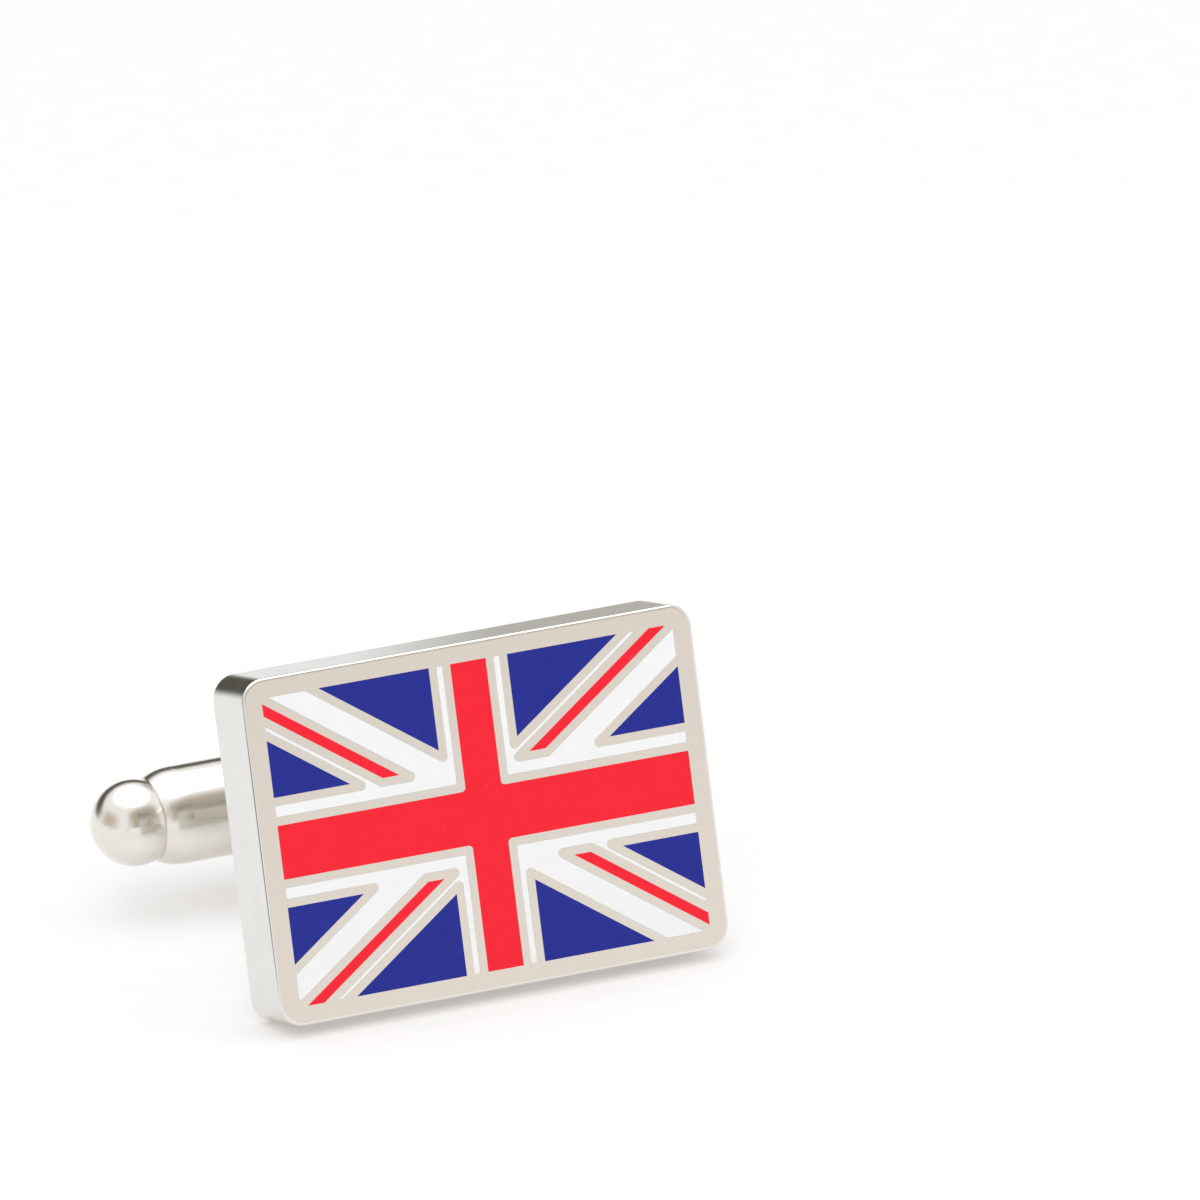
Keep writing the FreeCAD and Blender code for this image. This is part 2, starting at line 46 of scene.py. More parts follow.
# Where the plate stands: the middle of its face, and its directions to the back, right and up
FACE_MOUNT = next(mount for mount in frame["record"]["mounts"] if mount["name"] == "front_face")
FACE_CENTRE = Vector(FACE_MOUNT["pos_m"])
FACE_BACK = -Vector(FACE_MOUNT["axis"])
FACE_RIGHT = Vector((1.0, 0.0, 0.0))
FACE_UP = FACE_RIGHT.cross(FACE_BACK)
LEAN = math.atan2(FACE_UP.y, FACE_UP.z)

# Sizes in millimetres, in the plate's own frame: x right, y from the face to the back, z up
PLATE_WIDTH = 19.1
PLATE_HEIGHT = 13.5
PLATE_THICKNESS = 2.85
PLATE_CORNER = 0.95
RECESS_WIDTH = 9.8
RECESS_HEIGHT = 1.7
RECESS_MARGIN = 1.5
POST_DROP = 0.2
ARM_GAP = 4.3
CELL_DEPTH = 0.6

# Dots on the back, with a profile of radius and height from the foot to the flat top
DOT_PITCH = 0.63
DOT_COLUMNS = 29
DOT_ROWS = 20
DOT_SEGMENTS = 14
DOT_SINK = 0.03
DOT_PROFILE = ((0.27, 0.0), (0.262, 0.03), (0.2, 0.062), (0.15, 0.066))
DOT_CLEARANCE = 0.03
DOT_CORNER_MARGIN = 0.3
DOT_SMOOTH = math.radians(40.0)

# White enamel, with rings of inset, sink below the face and share of the painted rim shade, a grey
# painted along the cell's edge as shade
FLUSH = 0.002
OUTLINE_DIGITS = 4
INLAY_RINGS = ((0.0, 0.012, 1.0), (0.015, 0.004, 0.5), (0.035, 0.0, 0.0))
INLAY_SMOOTH = math.radians(6.0)

# Raised edge of the rear field, rounded by shares of its width and height from the inner side out
LIP_WIDTH = 0.16
LIP_HEIGHT = 0.055
LIP_SINK = 0.03
LIP_ROUND = ((0.0, 0.6), (0.25, 1.0), (0.7, 0.85), (1.0, 0.2))
LIP_SMOOTH = math.radians(50.0)

ENAMELS = {
    "red_enamel": ("red_cross", "red_stripe"),
    "white_enamel": ("white_field",),
    "blue_enamel": ("blue_large", "blue_small"),
}
QUARTERS = ("upper_left", "upper_right", "lower_left", "lower_right")
POLISHED = ("hinge_pin", "toggle_barrel", "end_cap_left", "end_cap_right")


def in_frame(x, y, z):
    """A point of the plate's own frame, in millimetres, as a place in the part's frame."""
    return FACE_CENTRE + (FACE_RIGHT * x + FACE_BACK * y + FACE_UP * z) * MM


# Node materials: where a Mix node keeps its colours, and the span that most of a noise falls in
MIX_COLOURS = (6, 7)
MIX_COLOUR_RESULT = 2
NOISE_LOW = 0.3
NOISE_HIGH = 0.7


class Material:
    """A node material; sockets take either a plain value or another node's output."""

    def __init__(self, name):
        self.made = bpy.data.materials.new(name)
        self.made.use_nodes = True
        self.tree = self.made.node_tree
        self.shader = self.tree.nodes["Principled BSDF"]

    def add(self, kind, settings=None, **sockets):
        node = self.tree.nodes.new("ShaderNode" + kind)
        for key, value in (settings or {}).items():
            setattr(node, key, value)
        self.fill(node, **sockets)
        return node

    def fill(self, node, **sockets):
        for key, value in sockets.items():
            socket = node.inputs[key.replace("_", " ")]
            if isinstance(value, bpy.types.NodeSocket):
                self.tree.links.new(value, socket)
            else:
                socket.default_value = value

    def plate_coordinates(self):
        """Object coordinates turned into the plate's own frame and counted in millimetres."""
        place = self.add("TexCoord").outputs["Object"]
        mapping = self.add("Mapping", Vector=place)
        mapping.inputs["Scale"].default_value = (1 / MM, 1 / MM, 1 / MM)
        mapping.inputs["Rotation"].default_value = (LEAN, 0.0, 0.0)
        turned = Matrix.Rotation(LEAN, 3, "X") @ (FACE_CENTRE / MM)
        mapping.inputs["Location"].default_value = -turned
        return mapping.outputs["Vector"]

    def stretched(self, place, stretch):
        """The coordinates scaled by a different amount along each axis."""
        mapping = self.add("Mapping", Vector=place)
        mapping.inputs["Scale"].default_value = stretch
        return mapping.outputs["Vector"]

    def noise(self, place, scale, detail):
        return self.add("TexNoise", Vector=place, Scale=scale, Detail=detail).outputs["Fac"]

    def spread(self, value, low, high, start=NOISE_LOW, end=NOISE_HIGH):
        """A value moved onto the span from low to high."""
        node = self.add("MapRange", Value=value, From_Min=start, From_Max=end,
                        To_Min=low, To_Max=high)
        return node.outputs["Result"]

    def ramp(self, value, deep, light, high=NOISE_HIGH):
        """The deep colour where the value is low, the light one where it is high."""
        node = self.add("ValToRGB", Fac=value)
        stops = ((NOISE_LOW, deep), (high, light))
        for element, (place, colour) in zip(node.color_ramp.elements, stops):
            element.position = place
            element.color = (*colour, 1.0)
        return node.outputs["Color"]

    def mixed_value(self, share, first, second):
        node = self.add("Mix", {"data_type": "FLOAT"}, Factor=share, A=first, B=second)
        return node.outputs["Result"]

    def mixed_colour(self, share, first, second):
        node = self.add("Mix", {"data_type": "RGBA"}, Factor=share)
        for number, colour in zip(MIX_COLOURS, (first, second)):
            socket = node.inputs[number]
            if isinstance(colour, bpy.types.NodeSocket):
                self.tree.links.new(colour, socket)
            else:
                socket.default_value = (*colour, 1.0)
        return node.outputs[MIX_COLOUR_RESULT]

    def bump(self, height, strength, distance, normal=None):
        sockets = {"Height": height, "Strength": strength, "Distance": distance * MM}
        if normal is not None:
            sockets["Normal"] = normal
        return self.add("Bump", **sockets).outputs["Normal"]


# Finishes: a noise is its scale and detail, a bump its strength and height in millimetres
METAL_LIGHT = (0.84, 0.81, 0.76)
METAL_DEEP = (0.79, 0.76, 0.705)
METAL_HIGH = 0.65

POLISH_PATCHES = (0.9, 4.0)
POLISH_GRAIN = (1.4, 3.0)
POLISH_GRAIN_STRETCH = (3.0, 26.0, 26.0)
POLISH_GRAIN_BUMP = (0.05, 0.01)
POLISH_WAVE = (1.3, 1.0)
POLISH_WAVE_HEIGHT = 0.05

EDGE_LIGHT = (0.785, 0.78, 0.755)
EDGE_DEEP = (0.745, 0.74, 0.715)
SATIN_LIGHT = (0.905, 0.855, 0.79)
SATIN_DEEP = (0.88, 0.83, 0.765)
FACE_SKIN = (0.004, 0.016)
BACK_SKIN = (PLATE_THICKNESS - 0.25, PLATE_THICKNESS - 0.1)
PLATE_BRUSHING = (1.0, 3.0)
PLATE_BRUSHING_STRETCH = (34.0, 4.0, 1.1)
PLATE_PATCHES = (0.8, 4.0)
PLATE_PITS = (9.0, 3.0)
FACE_ROUGH = (0.24, 0.4)
EDGE_ROUGH = (0.09, 0.15)
BACK_ROUGH = (0.14, 0.2)
FACE_TO_EDGE_BRUSH_STRENGTH = (0.09, 0.01)
EDGE_TO_BACK_PIT_STRENGTH = (0.02, 0.05)
PLATE_BUMP_HEIGHT = 0.02

STRIP_INSIDE = (ARM_GAP / 2 + 0.02, ARM_GAP / 2 + 0.1)
STRIP_DRAWN = (1.0, 3.0)
STRIP_DRAWN_STRETCH = (24.0, 1.2, 24.0)
STRIP_PITS = (6.0, 4.0)
STRIP_OUTER_ROUGH = (0.12, 0.2)
STRIP_INNER_ROUGH = (0.22, 0.34)
OUTER_TO_INNER_DRAWN_STRENGTH = (0.03, 0.16)
STRIP_DRAWN_HEIGHT = 0.012
STRIP_PIT_BUMP = (0.05, 0.03)

ENAMEL_CLOUDS = (1.1, 5.0)
ENAMEL_SPECKS = (11.0, 1.0)
ENAMEL_SPECK_SPAN = (0.72, 0.8)
ENAMEL_SPECK_SHARE = 0.5
ENAMEL_PEEL = (3.5, 2.0)
ENAMEL_PEEL_BUMP = (0.035, 0.03)
ENAMEL_ROUGH = (0.1, 0.18)
ENAMEL_GLOSS = 0.25

SPRING_LIGHT = (0.60, 0.60, 0.61)
SPRING_DEEP = (0.50, 0.50, 0.51)
SPRING_ROLLED = (1.0, 2.0)
SPRING_ROLLED_STRETCH = (2.0, 2.0, 40.0)
SPRING_ROUGH = (0.2, 0.34)
SPRING_BUMP = (0.06, 0.01)


def polished_metal(name, rough, ripple):
    """Polished silver-coloured plating with faint wear and a slightly uneven surface."""
    metal = Material(name)
    place = metal.plate_coordinates()
    patches = metal.noise(place, *POLISH_PATCHES)
    grain = metal.noise(metal.stretched(place, POLISH_GRAIN_STRETCH), *POLISH_GRAIN)
    wave = metal.noise(place, *POLISH_WAVE)
    normal = metal.bump(grain, *POLISH_GRAIN_BUMP)
    normal = metal.bump(wave, ripple, POLISH_WAVE_HEIGHT, normal)
    metal.fill(
        metal.shader,
        Base_Color=metal.ramp(patches, METAL_DEEP, METAL_LIGHT, METAL_HIGH),
        Metallic=1.0,
        Roughness=metal.spread(grain, *rough),
        Normal=normal,
    )
    return metal.made


def plate_metal(name):
    """Satin face with fine upright brushing, polished edges, duller ground between the dots."""
    metal = Material(name)
    place = metal.plate_coordinates()
    depth = metal.add("SeparateXYZ", Vector=place).outputs["Y"]
    on_face = metal.spread(depth, 1.0, 0.0, *FACE_SKIN)
    on_back = metal.spread(depth, 0.0, 1.0, *BACK_SKIN)
    brushing = metal.noise(metal.stretched(place, PLATE_BRUSHING_STRETCH), *PLATE_BRUSHING)
    patches = metal.noise(place, *PLATE_PATCHES)
    pits = metal.noise(place, *PLATE_PITS)
    face_rough = metal.spread(brushing, *FACE_ROUGH)
    edge_rough = metal.spread(patches, *EDGE_ROUGH)
    back_rough = metal.spread(pits, *BACK_ROUGH)
    rough = metal.mixed_value(on_face, edge_rough, face_rough)
    rough = metal.mixed_value(on_back, rough, back_rough)
    brush_strength = metal.spread(depth, *FACE_TO_EDGE_BRUSH_STRENGTH, *FACE_SKIN)
    normal = metal.bump(brushing, brush_strength, PLATE_BUMP_HEIGHT)
    pit_strength = metal.spread(on_back, *EDGE_TO_BACK_PIT_STRENGTH, 0.0, 1.0)
    normal = metal.bump(pits, pit_strength, PLATE_BUMP_HEIGHT, normal)
    edge_colour = metal.ramp(patches, EDGE_DEEP, EDGE_LIGHT, METAL_HIGH)
    face_colour = metal.ramp(brushing, SATIN_DEEP, SATIN_LIGHT)
    metal.fill(
        metal.shader,
        Base_Color=metal.mixed_colour(on_face, edge_colour, face_colour),
        Metallic=1.0,
        Roughness=rough,
        Normal=normal,
    )
    return metal.made


def strip_metal(name):
    """Bent strip: polished and faintly pitted outside, drawn lines and a duller skin inside."""
    metal = Material(name)
    place = metal.plate_coordinates()
    parts = metal.add("SeparateXYZ", Vector=place)
    height = metal.add("Math", {"operation": "ADD"}, Value=parts.outputs["Z"])
    height.inputs[1].default_value = POST_DROP
    from_middle = metal.add("Math", {"operation": "ABSOLUTE"}, Value=height.outputs[0]).outputs[0]
    inside = metal.spread(from_middle, 1.0, 0.0, *STRIP_INSIDE)
    drawn = metal.noise(metal.stretched(place, STRIP_DRAWN_STRETCH), *STRIP_DRAWN)
    pits = metal.noise(place, *STRIP_PITS)
    outer_rough = metal.spread(pits, *STRIP_OUTER_ROUGH)
    inner_rough = metal.spread(drawn, *STRIP_INNER_ROUGH)
    drawn_strength = metal.spread(inside, *OUTER_TO_INNER_DRAWN_STRENGTH, 0.0, 1.0)
    normal = metal.bump(drawn, drawn_strength, STRIP_DRAWN_HEIGHT)
    normal = metal.bump(pits, *STRIP_PIT_BUMP, normal)
    metal.fill(
        metal.shader,
        Base_Color=metal.ramp(pits, METAL_DEEP, METAL_LIGHT, METAL_HIGH),
        Metallic=1.0,
        Roughness=metal.mixed_value(inside, outer_rough, inner_rough),
        Normal=normal,
    )
    return metal.made


def enamel(name, deep, light, speck, rim_shade=None):
    """Hard enamel ground flush and polished: even colour with faint clouds and tiny specks.
    Where the piece carries a rim shade share, grey is painted there as shade along the cell's edge."""
    glass = Material(name)
    place = glass.plate_coordinates()
    clouds = glass.noise(place, *ENAMEL_CLOUDS)
    specks = glass.noise(place, *ENAMEL_SPECKS)
    peel = glass.noise(place, *ENAMEL_PEEL)
    ground = glass.ramp(clouds, deep, light)
    speck_share = glass.spread(specks, 0.0, ENAMEL_SPECK_SHARE, *ENAMEL_SPECK_SPAN)
    colour = glass.mixed_colour(speck_share, ground, speck)
    if rim_shade:
        # Painted shade: the colour turns grey along the white cell's edge
        rim_shade_at = glass.add("Attribute", {"attribute_name": "rim_shade"}).outputs["Fac"]
        colour = glass.mixed_colour(rim_shade_at, colour, rim_shade)
    glass.fill(
        glass.shader,
        Base_Color=colour,
        Roughness=glass.spread(clouds, *ENAMEL_ROUGH),
        Specular_IOR_Level=ENAMEL_GLOSS,
        Normal=glass.bump(peel, *ENAMEL_PEEL_BUMP),
    )
    return glass.made


def spring_metal(name):
    """Rolled steel strip with lines along its length."""
    steel = Material(name)
    place = steel.plate_coordinates()
    rolled = steel.noise(steel.stretched(place, SPRING_ROLLED_STRETCH), *SPRING_ROLLED)
    steel.fill(
        steel.shader,
        Base_Color=steel.ramp(rolled, SPRING_DEEP, SPRING_LIGHT),
        Metallic=1.0,
        Roughness=steel.spread(rolled, *SPRING_ROUGH),
        Normal=steel.bump(rolled, *SPRING_BUMP),
    )
    return steel.made


polish = polished_metal("polished_plating", rough=(0.13, 0.21), ripple=0.02)
solder = polished_metal("solder_plating", rough=(0.14, 0.24), ripple=0.12)
plate_finish = plate_metal("plate_plating")
strip_finish = strip_metal("strip_plating")
dot_finish = polished_metal("dot_plating", rough=(0.12, 0.2), ripple=0.03)
spring_finish = spring_metal("spring_strip")
enamel_finish = {
    "red_enamel": enamel("red_hard_enamel", deep=(0.825, 0.0095, 0.027),
                         light=(0.845, 0.0125, 0.03), speck=(0.95, 0.2, 0.2)),
    "white_enamel": enamel("white_hard_enamel", deep=(0.79, 0.795, 0.8),
                           light=(0.815, 0.82, 0.825), speck=(0.7, 0.71, 0.72),
                           # Grey painted along the white cells' edges as shade
                           rim_shade=(0.68, 0.67, 0.65)),
    "blue_enamel": enamel("blue_hard_enamel", deep=(0.009, 0.016, 0.24),
                          light=(0.012, 0.02, 0.255), speck=(0.12, 0.15, 0.42)),
}


# The construction's own pieces
def finish_node(name, material):
    node = frame["nodes"][name]
    node.data.materials.clear()
    node.data.materials.append(material)


finish_node("face_plate", plate_finish)
finish_node("solder_bead", solder)
finish_node("stirrup", strip_finish)
finish_node("detent_spring", spring_finish)
for node_name in POLISHED:
    finish_node(node_name, polish)
for slot_name, stems in ENAMELS.items():
    for node_name in frame["nodes"]:
        if node_name.startswith(stems):
            finish_node(node_name, enamel_finish[slot_name])


# Pieces modelled here
def add_piece(name, mesh_data, material, body, smooth_angle):
    mesh = bpy.data.meshes.new(name)
    mesh_data.to_mesh(mesh)
    mesh_data.free()
    mesh.materials.append(material)
    mesh.shade_smooth()
    mesh.set_sharp_from_angle(angle=smooth_angle)
    piece = bpy.data.objects.new(name, mesh)
    bpy.context.scene.collection.objects.link(piece)
    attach(piece, body)
    return piece


def front_outline(name):
    """The outline of an enamel cell at the face, across and up it in millimetres, in order."""
    mesh = frame["nodes"][name].data
    flush = {}
    for vertex in mesh.vertices:
        place = (vertex.co - FACE_CENTRE) / MM
        if abs(place.dot(FACE_BACK)) < FLUSH:
            flush[vertex.index] = (round(place.dot(FACE_RIGHT), OUTLINE_DIGITS),
                                   round(place.dot(FACE_UP), OUTLINE_DIGITS))
    sides = set()
    for polygon in mesh.polygons:
        corners = list(polygon.vertices)
        if all(corner in flush for corner in corners):
            sides.update((flush[a], flush[b]) for a, b in zip(corners, corners[1:] + corners[:1]))
    follow = {first: second for first, second in sides if (second, first) not in sides}
    outline = [min(follow)]
    while follow[outline[-1]] != outline[0]:
        outline.append(follow[outline[-1]])
    return [Vector(point) for point in outline]


def inset(outline, distance):
    """The outline moved inwards by one distance all round."""
    pairs = list(zip(outline, outline[1:] + outline[:1]))
    inward = 1.0 if sum(a.cross(b) for a, b in pairs) > 0 else -1.0
    made = []
    for before, here, after in zip(outline[-1:] + outline[:-1], outline, outline[1:] + outline[:1]):
        first = (here - before).normalized().orthogonal() * inward
        second = (after - here).normalized().orthogonal() * inward
        made.append(here + (first + second) * (distance / (1.0 + first.dot(second))))
    return made


def enamel_inlay(name):
    """Enamel poured into one cell: flush and flat inside, thinner and a hair lower at its rim, where
    each vertex carries its share of painted rim shade.
    """
    mesh_data = bmesh.new()
    # Share of grey painted shade at the cell's edge, full at the wall and none inside
    rim_shade_layer = mesh_data.verts.layers.float.new("rim_shade")
    outline = front_outline(name)
    loops = []
    for distance, sink, rim_shade_weight in ((0.0, CELL_DEPTH, 1.0), *INLAY_RINGS):
        ring = []
        for point in inset(outline, distance):
            vertex = mesh_data.verts.new(in_frame(point.x, sink, point.y))
            vertex[rim_shade_layer] = rim_shade_weight
            ring.append(vertex)
        loops.append(ring)
    for lower, upper in zip(loops, loops[1:]):
        for step in range(len(lower)):
            after = (step + 1) % len(lower)
            mesh_data.faces.new((lower[step], lower[after], upper[after], upper[step]))
    mesh_data.faces.new(loops[-1])
    mesh_data.faces.new(list(reversed(loops[0])))
    bmesh.ops.recalc_face_normals(mesh_data, faces=mesh_data.faces)
    return mesh_data


def solder_spread():
    """Half width and the upright span, in millimetres, that the round-ended solder takes up."""
    points = [vertex.co - FACE_CENTRE for vertex in frame["nodes"]["solder_bead"].data.vertices]
    half = max(abs(point.dot(FACE_RIGHT)) for point in points) / MM
    spans = [point.dot(FACE_UP) / MM for point in points]
    return half, min(spans), max(spans)


def dot_is_clear(x, z, bead):
    """Whether a dot keeps off the solder, the rear field with its edge, and the plate's corners."""
    reach = DOT_PROFILE[0][0] + DOT_CLEARANCE
    half, low, high = bead
    middle = min(max(z, low + half), high - half)
    if math.hypot(x, z - middle) < half + reach:
        return False
    recess_low = RECESS_MARGIN - PLATE_HEIGHT / 2 - LIP_WIDTH
    recess_high = recess_low + RECESS_HEIGHT + 2 * LIP_WIDTH
    if abs(x) < RECESS_WIDTH / 2 + LIP_WIDTH + reach and recess_low - reach < z < recess_high + reach:
        return False
    corner_x = abs(x) - (PLATE_WIDTH / 2 - PLATE_CORNER)
    corner_z = abs(z) - (PLATE_HEIGHT / 2 - PLATE_CORNER)
    if corner_x > 0 and corner_z > 0:
        return math.hypot(corner_x, corner_z) < PLATE_CORNER - DOT_CORNER_MARGIN - reach
    return True


def add_dot(mesh_data, x, z):
    """One raised round dot with a bevelled flat top, its foot sunk into the back."""
    rings = [(DOT_PROFILE[0][0], -DOT_SINK), *DOT_PROFILE]
    made = []
    for radius, height in rings:
        ring = []
        for step in range(DOT_SEGMENTS):
            turn = 2 * math.pi * step / DOT_SEGMENTS
            place = in_frame(x + radius * math.cos(turn), PLATE_THICKNESS + height,
                             z + radius * math.sin(turn))
            ring.append(mesh_data.verts.new(place))
        made.append(ring)
    for lower, upper in zip(made, made[1:]):
        for step in range(DOT_SEGMENTS):
            after = (step + 1) % DOT_SEGMENTS
            mesh_data.faces.new((lower[step], upper[step], upper[after], lower[after]))
    mesh_data.faces.new(made[-1])
    mesh_data.faces.new(reversed(made[0]))


def back_dots():
    """The even grid of dots that covers the bare parts of the back."""
    mesh_data = bmesh.new()
    bead = solder_spread()
    for column in range(DOT_COLUMNS):
        x = (column - (DOT_COLUMNS - 1) / 2) * DOT_PITCH
        for row in range(DOT_ROWS):
            z = (row - (DOT_ROWS - 1) / 2) * DOT_PITCH
            if dot_is_clear(x, z, bead):
                add_dot(mesh_data, x, z)
    bmesh.ops.recalc_face_normals(mesh_data, faces=mesh_data.faces)
    return mesh_data


def recess_lip():
    """A low rounded bead that frames the bare field on the back."""
    mesh_data = bmesh.new()
    profile = [(LIP_WIDTH * across, LIP_HEIGHT * up) for across, up in LIP_ROUND]
    profile = [(0.0, -LIP_SINK), *profile, (LIP_WIDTH, -LIP_SINK)]
    middle = RECESS_MARGIN + RECESS_HEIGHT / 2 - PLATE_HEIGHT / 2
    loops = []
    for offset, height in profile:
        half_x = RECESS_WIDTH / 2 + offset
        half_z = RECESS_HEIGHT / 2 + offset
        corners = ((-half_x, -half_z), (half_x, -half_z), (half_x, half_z), (-half_x, half_z))
        loops.append([mesh_data.verts.new(in_frame(x, PLATE_THICKNESS + height, middle + z))
                      for x, z in corners])
    for inner, outer in zip(loops, loops[1:] + loops[:1]):
        for side in range(len(inner)):
            after = (side + 1) % len(inner)
            mesh_data.faces.new((inner[side], outer[side], outer[after], inner[after]))
    bmesh.ops.recalc_face_normals(mesh_data, faces=mesh_data.faces)
    return mesh_data


for quarter in QUARTERS:
    cell = "white_field_" + quarter
    inlay = add_piece("white_inlay_" + quarter, enamel_inlay(cell), enamel_finish["white_enamel"],
                      "face_and_post", INLAY_SMOOTH)
    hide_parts(cell)
add_piece("back_dots", back_dots(), dot_finish, "face_and_post", DOT_SMOOTH)
add_piece("recess_lip", recess_lip(), dot_finish, "face_and_post", LIP_SMOOTH)

# Floor and light, in metres and watts
FLOOR_HALF = 3.0
FLOOR_FIBRE = (700.0, 3.0)
FLOOR_LIGHT = (0.9, 0.9, 0.9)
FLOOR_DEEP = (0.86, 0.86, 0.86)
FLOOR_ROUGH = 0.9
FLOOR_WHITE = 0.6
# Close under the cufflink the paper gives less of its own light and turns warm: a painted contact
# shadow
CONTACT_WHITE = 0.34
CONTACT_REACH = 0.004
CONTACT_SAMPLES = 16
CONTACT_SHADOW_TINT = (0.78, 0.7, 0.6)
WORLD_WHITE = (1.0, 1.0, 1.0, 1.0)
WORLD_LIGHT = 0.45
WORLD_SHOWN = 1.0
LAMP_AIM = Vector((0.0, 0.0, 0.005))


def shown_background(tree):
    """One for camera, mirror and see-through rays, nought for the rays that only light the set."""
    path = tree.nodes.new("ShaderNodeLightPath")
    first = tree.nodes.new("ShaderNodeMath")
    first.operation = "MAXIMUM"
    tree.links.new(path.outputs["Is Camera Ray"], first.inputs[0])
    tree.links.new(path.outputs["Is Glossy Ray"], first.inputs[1])
    second = tree.nodes.new("ShaderNodeMath")
    second.operation = "MAXIMUM"
    tree.links.new(first.outputs[0], second.inputs[0])
    tree.links.new(path.outputs["Is Transmission Ray"], second.inputs[1])
    return second.outputs[0]


def floor_material():
    """White paper that gives part of its light itself where it is looked at, less of it close under
    the cufflink, where its colour also turns warm: a painted contact shadow, dark and warm, while
    the wide shadow stays faint."""
    paper = Material("floor_paper")
    place = paper.add("TexCoord").outputs["Object"]
    fibre = paper.noise(place, *FLOOR_FIBRE)
    contact = paper.add("AmbientOcclusion", {"samples": CONTACT_SAMPLES}, Distance=CONTACT_REACH)
    open_sky = contact.outputs["AO"]
    pale = paper.ramp(fibre, FLOOR_DEEP, FLOOR_LIGHT)
    # Painted shadow: the paper's colour turns to the warm shadow tint where little sky is open
    paper.fill(paper.shader, Base_Color=paper.mixed_colour(open_sky, CONTACT_SHADOW_TINT, pale),
               Roughness=FLOOR_ROUGH, Specular_IOR_Level=0.0)
    glow = paper.add("Emission", Strength=1.0)
    own_light = paper.spread(open_sky, CONTACT_WHITE, FLOOR_WHITE, 0.0, 1.0)
    share = paper.add("Math", {"operation": "MULTIPLY"})
    paper.tree.links.new(shown_background(paper.tree), share.inputs[0])
    paper.tree.links.new(own_light, share.inputs[1])
    mixed = paper.add("MixShader")
    paper.tree.links.new(share.outputs[0], mixed.inputs[0])
    paper.tree.links.new(paper.shader.outputs["BSDF"], mixed.inputs[1])
    paper.tree.links.new(glow.outputs["Emission"], mixed.inputs[2])
    output = paper.tree.nodes["Material Output"]
    paper.tree.links.new(mixed.outputs["Shader"], output.inputs["Surface"])
    return paper.made


def add_floor():
    mesh = bpy.data.meshes.new("floor")
    corners = [(-FLOOR_HALF, -FLOOR_HALF, 0), (FLOOR_HALF, -FLOOR_HALF, 0),
               (FLOOR_HALF, FLOOR_HALF, 0), (-FLOOR_HALF, FLOOR_HALF, 0)]
    mesh.from_pydata(corners, [], [(0, 1, 2, 3)])
    mesh.materials.append(floor_material())
    floor = bpy.data.objects.new("floor", mesh)
    bpy.context.scene.collection.objects.link(floor)


def add_world():
    """A white surround that is seen and mirrored in full, and lights the set at a lower level."""
    world = bpy.data.worlds.new("studio")
    world.use_nodes = True
    bpy.context.scene.world = world
    tree = world.node_tree
    back = tree.nodes["Background"]
    back.inputs["Color"].default_value = WORLD_WHITE
    strength = tree.nodes.new("ShaderNodeMapRange")
    strength.inputs["To Min"].default_value = WORLD_LIGHT
    strength.inputs["To Max"].default_value = WORLD_SHOWN
    tree.links.new(shown_background(tree), strength.inputs["Value"])
    tree.links.new(strength.outputs["Result"], back.inputs["Strength"])


def add_lamp(name, place, size, power, mirrored):
    lamp = bpy.data.lights.new(name, "AREA")
    lamp.shape = "DISK"
    lamp.size = size
    lamp.energy = power
    holder = bpy.data.objects.new(name, lamp)
    holder.location = place
    holder.rotation_euler = (LAMP_AIM - Vector(place)).to_track_quat("-Z", "Y").to_euler()
    holder.visible_glossy = mirrored
    bpy.context.scene.collection.objects.link(holder)


def card_material(name, tone, soft):
    """Matt card of one tone that thins out towards its edges."""
    card = Material(name)
    parts = card.add("SeparateXYZ", Vector=card.add("TexCoord").outputs["Object"])
    edges = []
    for axis in ("X", "Y"):
        reach = card.add("Math", {"operation": "ABSOLUTE"})
        card.tree.links.new(parts.outputs[axis], reach.inputs[0])
        edge = card.add("MapRange", {"interpolation_type": "SMOOTHSTEP"}, Value=reach.outputs[0],
                        From_Min=1.0 - soft, From_Max=1.0, To_Min=1.0, To_Max=0.0)
        edges.append(edge.outputs["Result"])
    cover = card.add("Math", {"operation": "MULTIPLY"})
    card.tree.links.new(edges[0], cover.inputs[0])
    card.tree.links.new(edges[1], cover.inputs[1])
    tint = card.add("Emission", Color=(*tone, 1.0), Strength=1.0)
    clear = card.add("BsdfTransparent")
    mixed = card.add("MixShader")
    card.tree.links.new(cover.outputs[0], mixed.inputs[0])
    card.tree.links.new(clear.outputs[0], mixed.inputs[1])
    card.tree.links.new(tint.outputs[0], mixed.inputs[2])
    card.tree.links.new(mixed.outputs[0], card.tree.nodes["Material Output"].inputs["Surface"])
    return card.made


def add_card(name, azimuth, elevation, distance, width, height, tone, soft, turn=0.0):
    """A card hung round the set and turned to it, or off it by a turn about the vertical: only
    glossy surfaces show it, as a darker band."""
    flat = math.cos(math.radians(elevation))
    away = Vector((math.sin(math.radians(azimuth)) * flat, -math.cos(math.radians(azimuth)) * flat,
                   math.sin(math.radians(elevation))))
    mesh = bpy.data.meshes.new(name)
    mesh.from_pydata([(-1, -1, 0), (1, -1, 0), (1, 1, 0), (-1, 1, 0)], [], [(0, 1, 2, 3)])
    mesh.materials.append(card_material(name + "_card", tone, soft))
    card = bpy.data.objects.new(name, mesh)
    card.location = away * distance
    faced = Matrix.Rotation(math.radians(turn), 3, "Z") @ away
    card.rotation_euler = faced.to_track_quat("Z", "Y").to_euler()
    card.scale = (width / 2, height / 2, 1.0)
    card.visible_camera = False
    card.visible_diffuse = False
    card.visible_shadow = False
    bpy.context.scene.collection.objects.link(card)


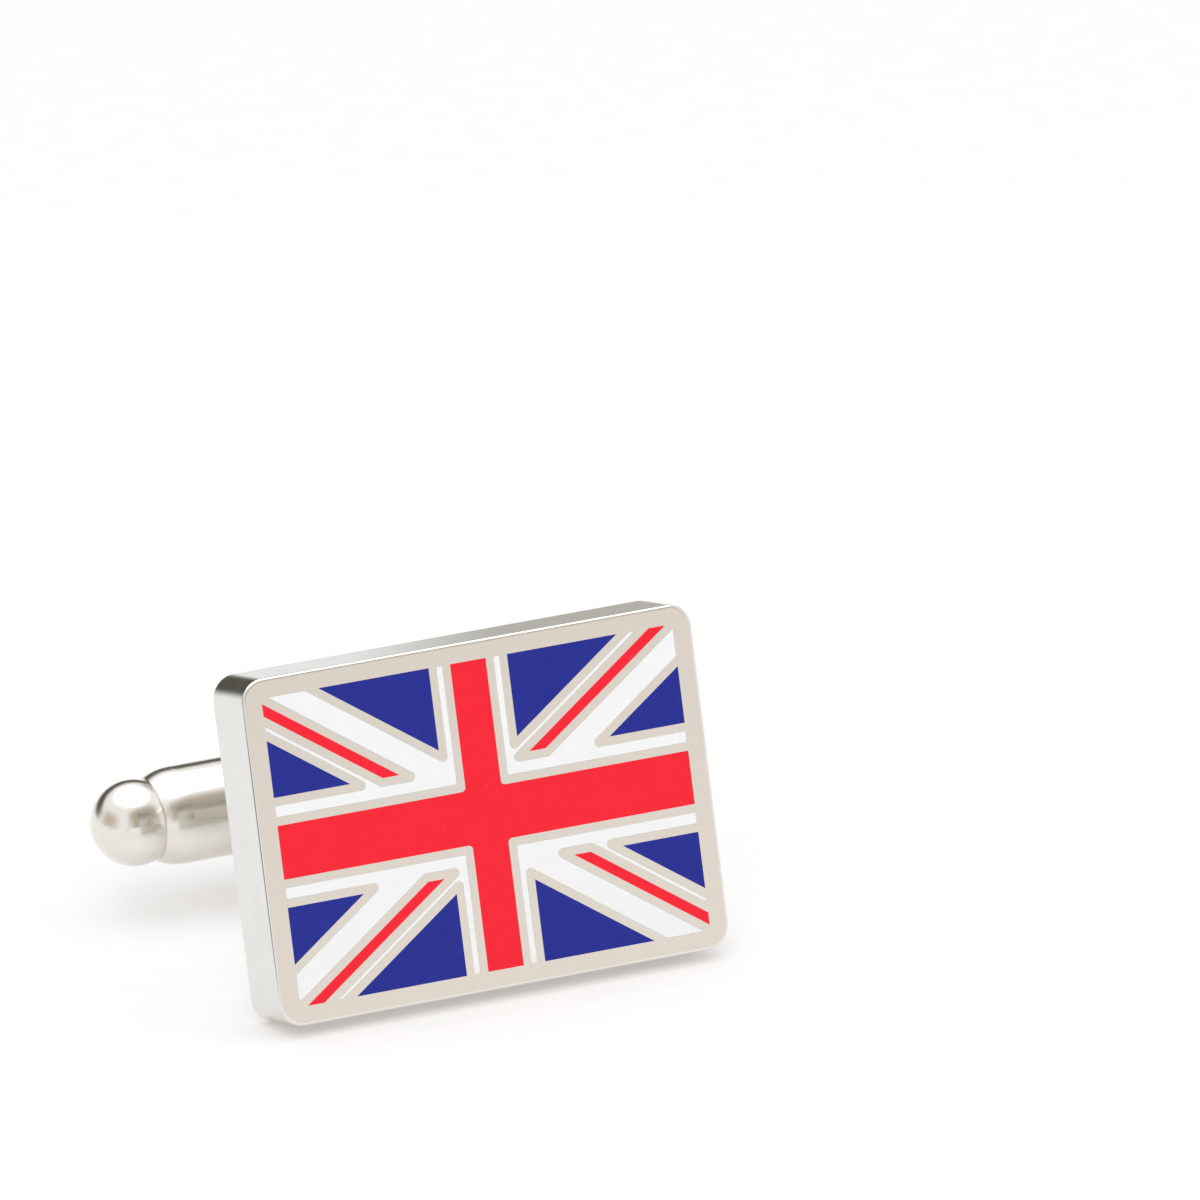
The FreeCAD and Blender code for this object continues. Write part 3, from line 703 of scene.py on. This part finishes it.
# The photo's camera, turned and raised off the face's normal, with its lengths in millimetres
CAMERA_AZIMUTH = math.radians(-24.068)
CAMERA_ELEVATION = math.radians(7.084)
CAMERA_ROLL = math.radians(-7.097)
CAMERA_DISTANCE = 882.713
CAMERA_LENS = 690.0
FACE_RIGHT_OF_AXIS = -4.338
FACE_BELOW_AXIS = 8.251
CAMERA_NEAR = 50.0
CAMERA_FAR = 20000.0


def add_camera():
    """The photo's view: turned and raised from the face's own normal, far off with a long lens."""
    flat = math.cos(CAMERA_ELEVATION)
    back = (FACE_RIGHT * math.sin(CAMERA_AZIMUTH) * flat - FACE_BACK * math.cos(CAMERA_AZIMUTH) * flat
            + FACE_UP * math.sin(CAMERA_ELEVATION))
    level = (FACE_UP - back * back.dot(FACE_UP)).normalized()
    up = Matrix.Rotation(CAMERA_ROLL, 3, back) @ level
    right = up.cross(back)
    place = FACE_CENTRE + (back * CAMERA_DISTANCE - right * FACE_RIGHT_OF_AXIS
                           + up * FACE_BELOW_AXIS) * MM
    data = bpy.data.cameras.new("camera")
    data.lens = CAMERA_LENS
    data.clip_start = CAMERA_NEAR * MM
    data.clip_end = CAMERA_FAR * MM
    camera = bpy.data.objects.new("camera", data)
    turn = Matrix((right, up, back)).transposed().to_4x4()
    camera.matrix_world = Matrix.Translation(place) @ turn
    bpy.context.scene.collection.objects.link(camera)
    bpy.context.scene.camera = camera


add_floor()
add_world()
add_lamp("key", place=(-0.2, -0.34, 0.36), size=0.3, power=1.05, mirrored=False)
add_lamp("fill", place=(0.34, -0.26, 0.24), size=0.3, power=0.42, mirrored=False)
add_lamp("top", place=(0.0, 0.06, 0.42), size=0.62, power=1.25, mirrored=True)

# The near flag is meant for the plate's left side, and is turned edge-on to the toggle
add_card("front_card", azimuth=10.0, elevation=30.0, distance=0.75, width=1.7, height=0.95,
         tone=(0.5, 0.44, 0.36), soft=0.6)
add_card("near_flag", azimuth=-65.0, elevation=15.0, distance=0.024, width=0.018, height=0.026,
         tone=(0.14, 0.127, 0.11), soft=0.9, turn=-62.0)
add_card("rear_flag", azimuth=141.0, elevation=25.0, distance=0.042, width=0.03, height=0.04,
         tone=(0.5, 0.49, 0.45), soft=0.6)
add_card("left_card", azimuth=-95.0, elevation=14.0, distance=0.6, width=0.9, height=0.6,
         tone=(0.6, 0.54, 0.43), soft=0.9)
add_card("rear_card", azimuth=175.0, elevation=17.0, distance=0.7, width=2.6, height=0.52,
         tone=(0.1, 0.095, 0.075), soft=0.7)
add_camera()
bpy.context.scene.view_settings.view_transform = "Standard"
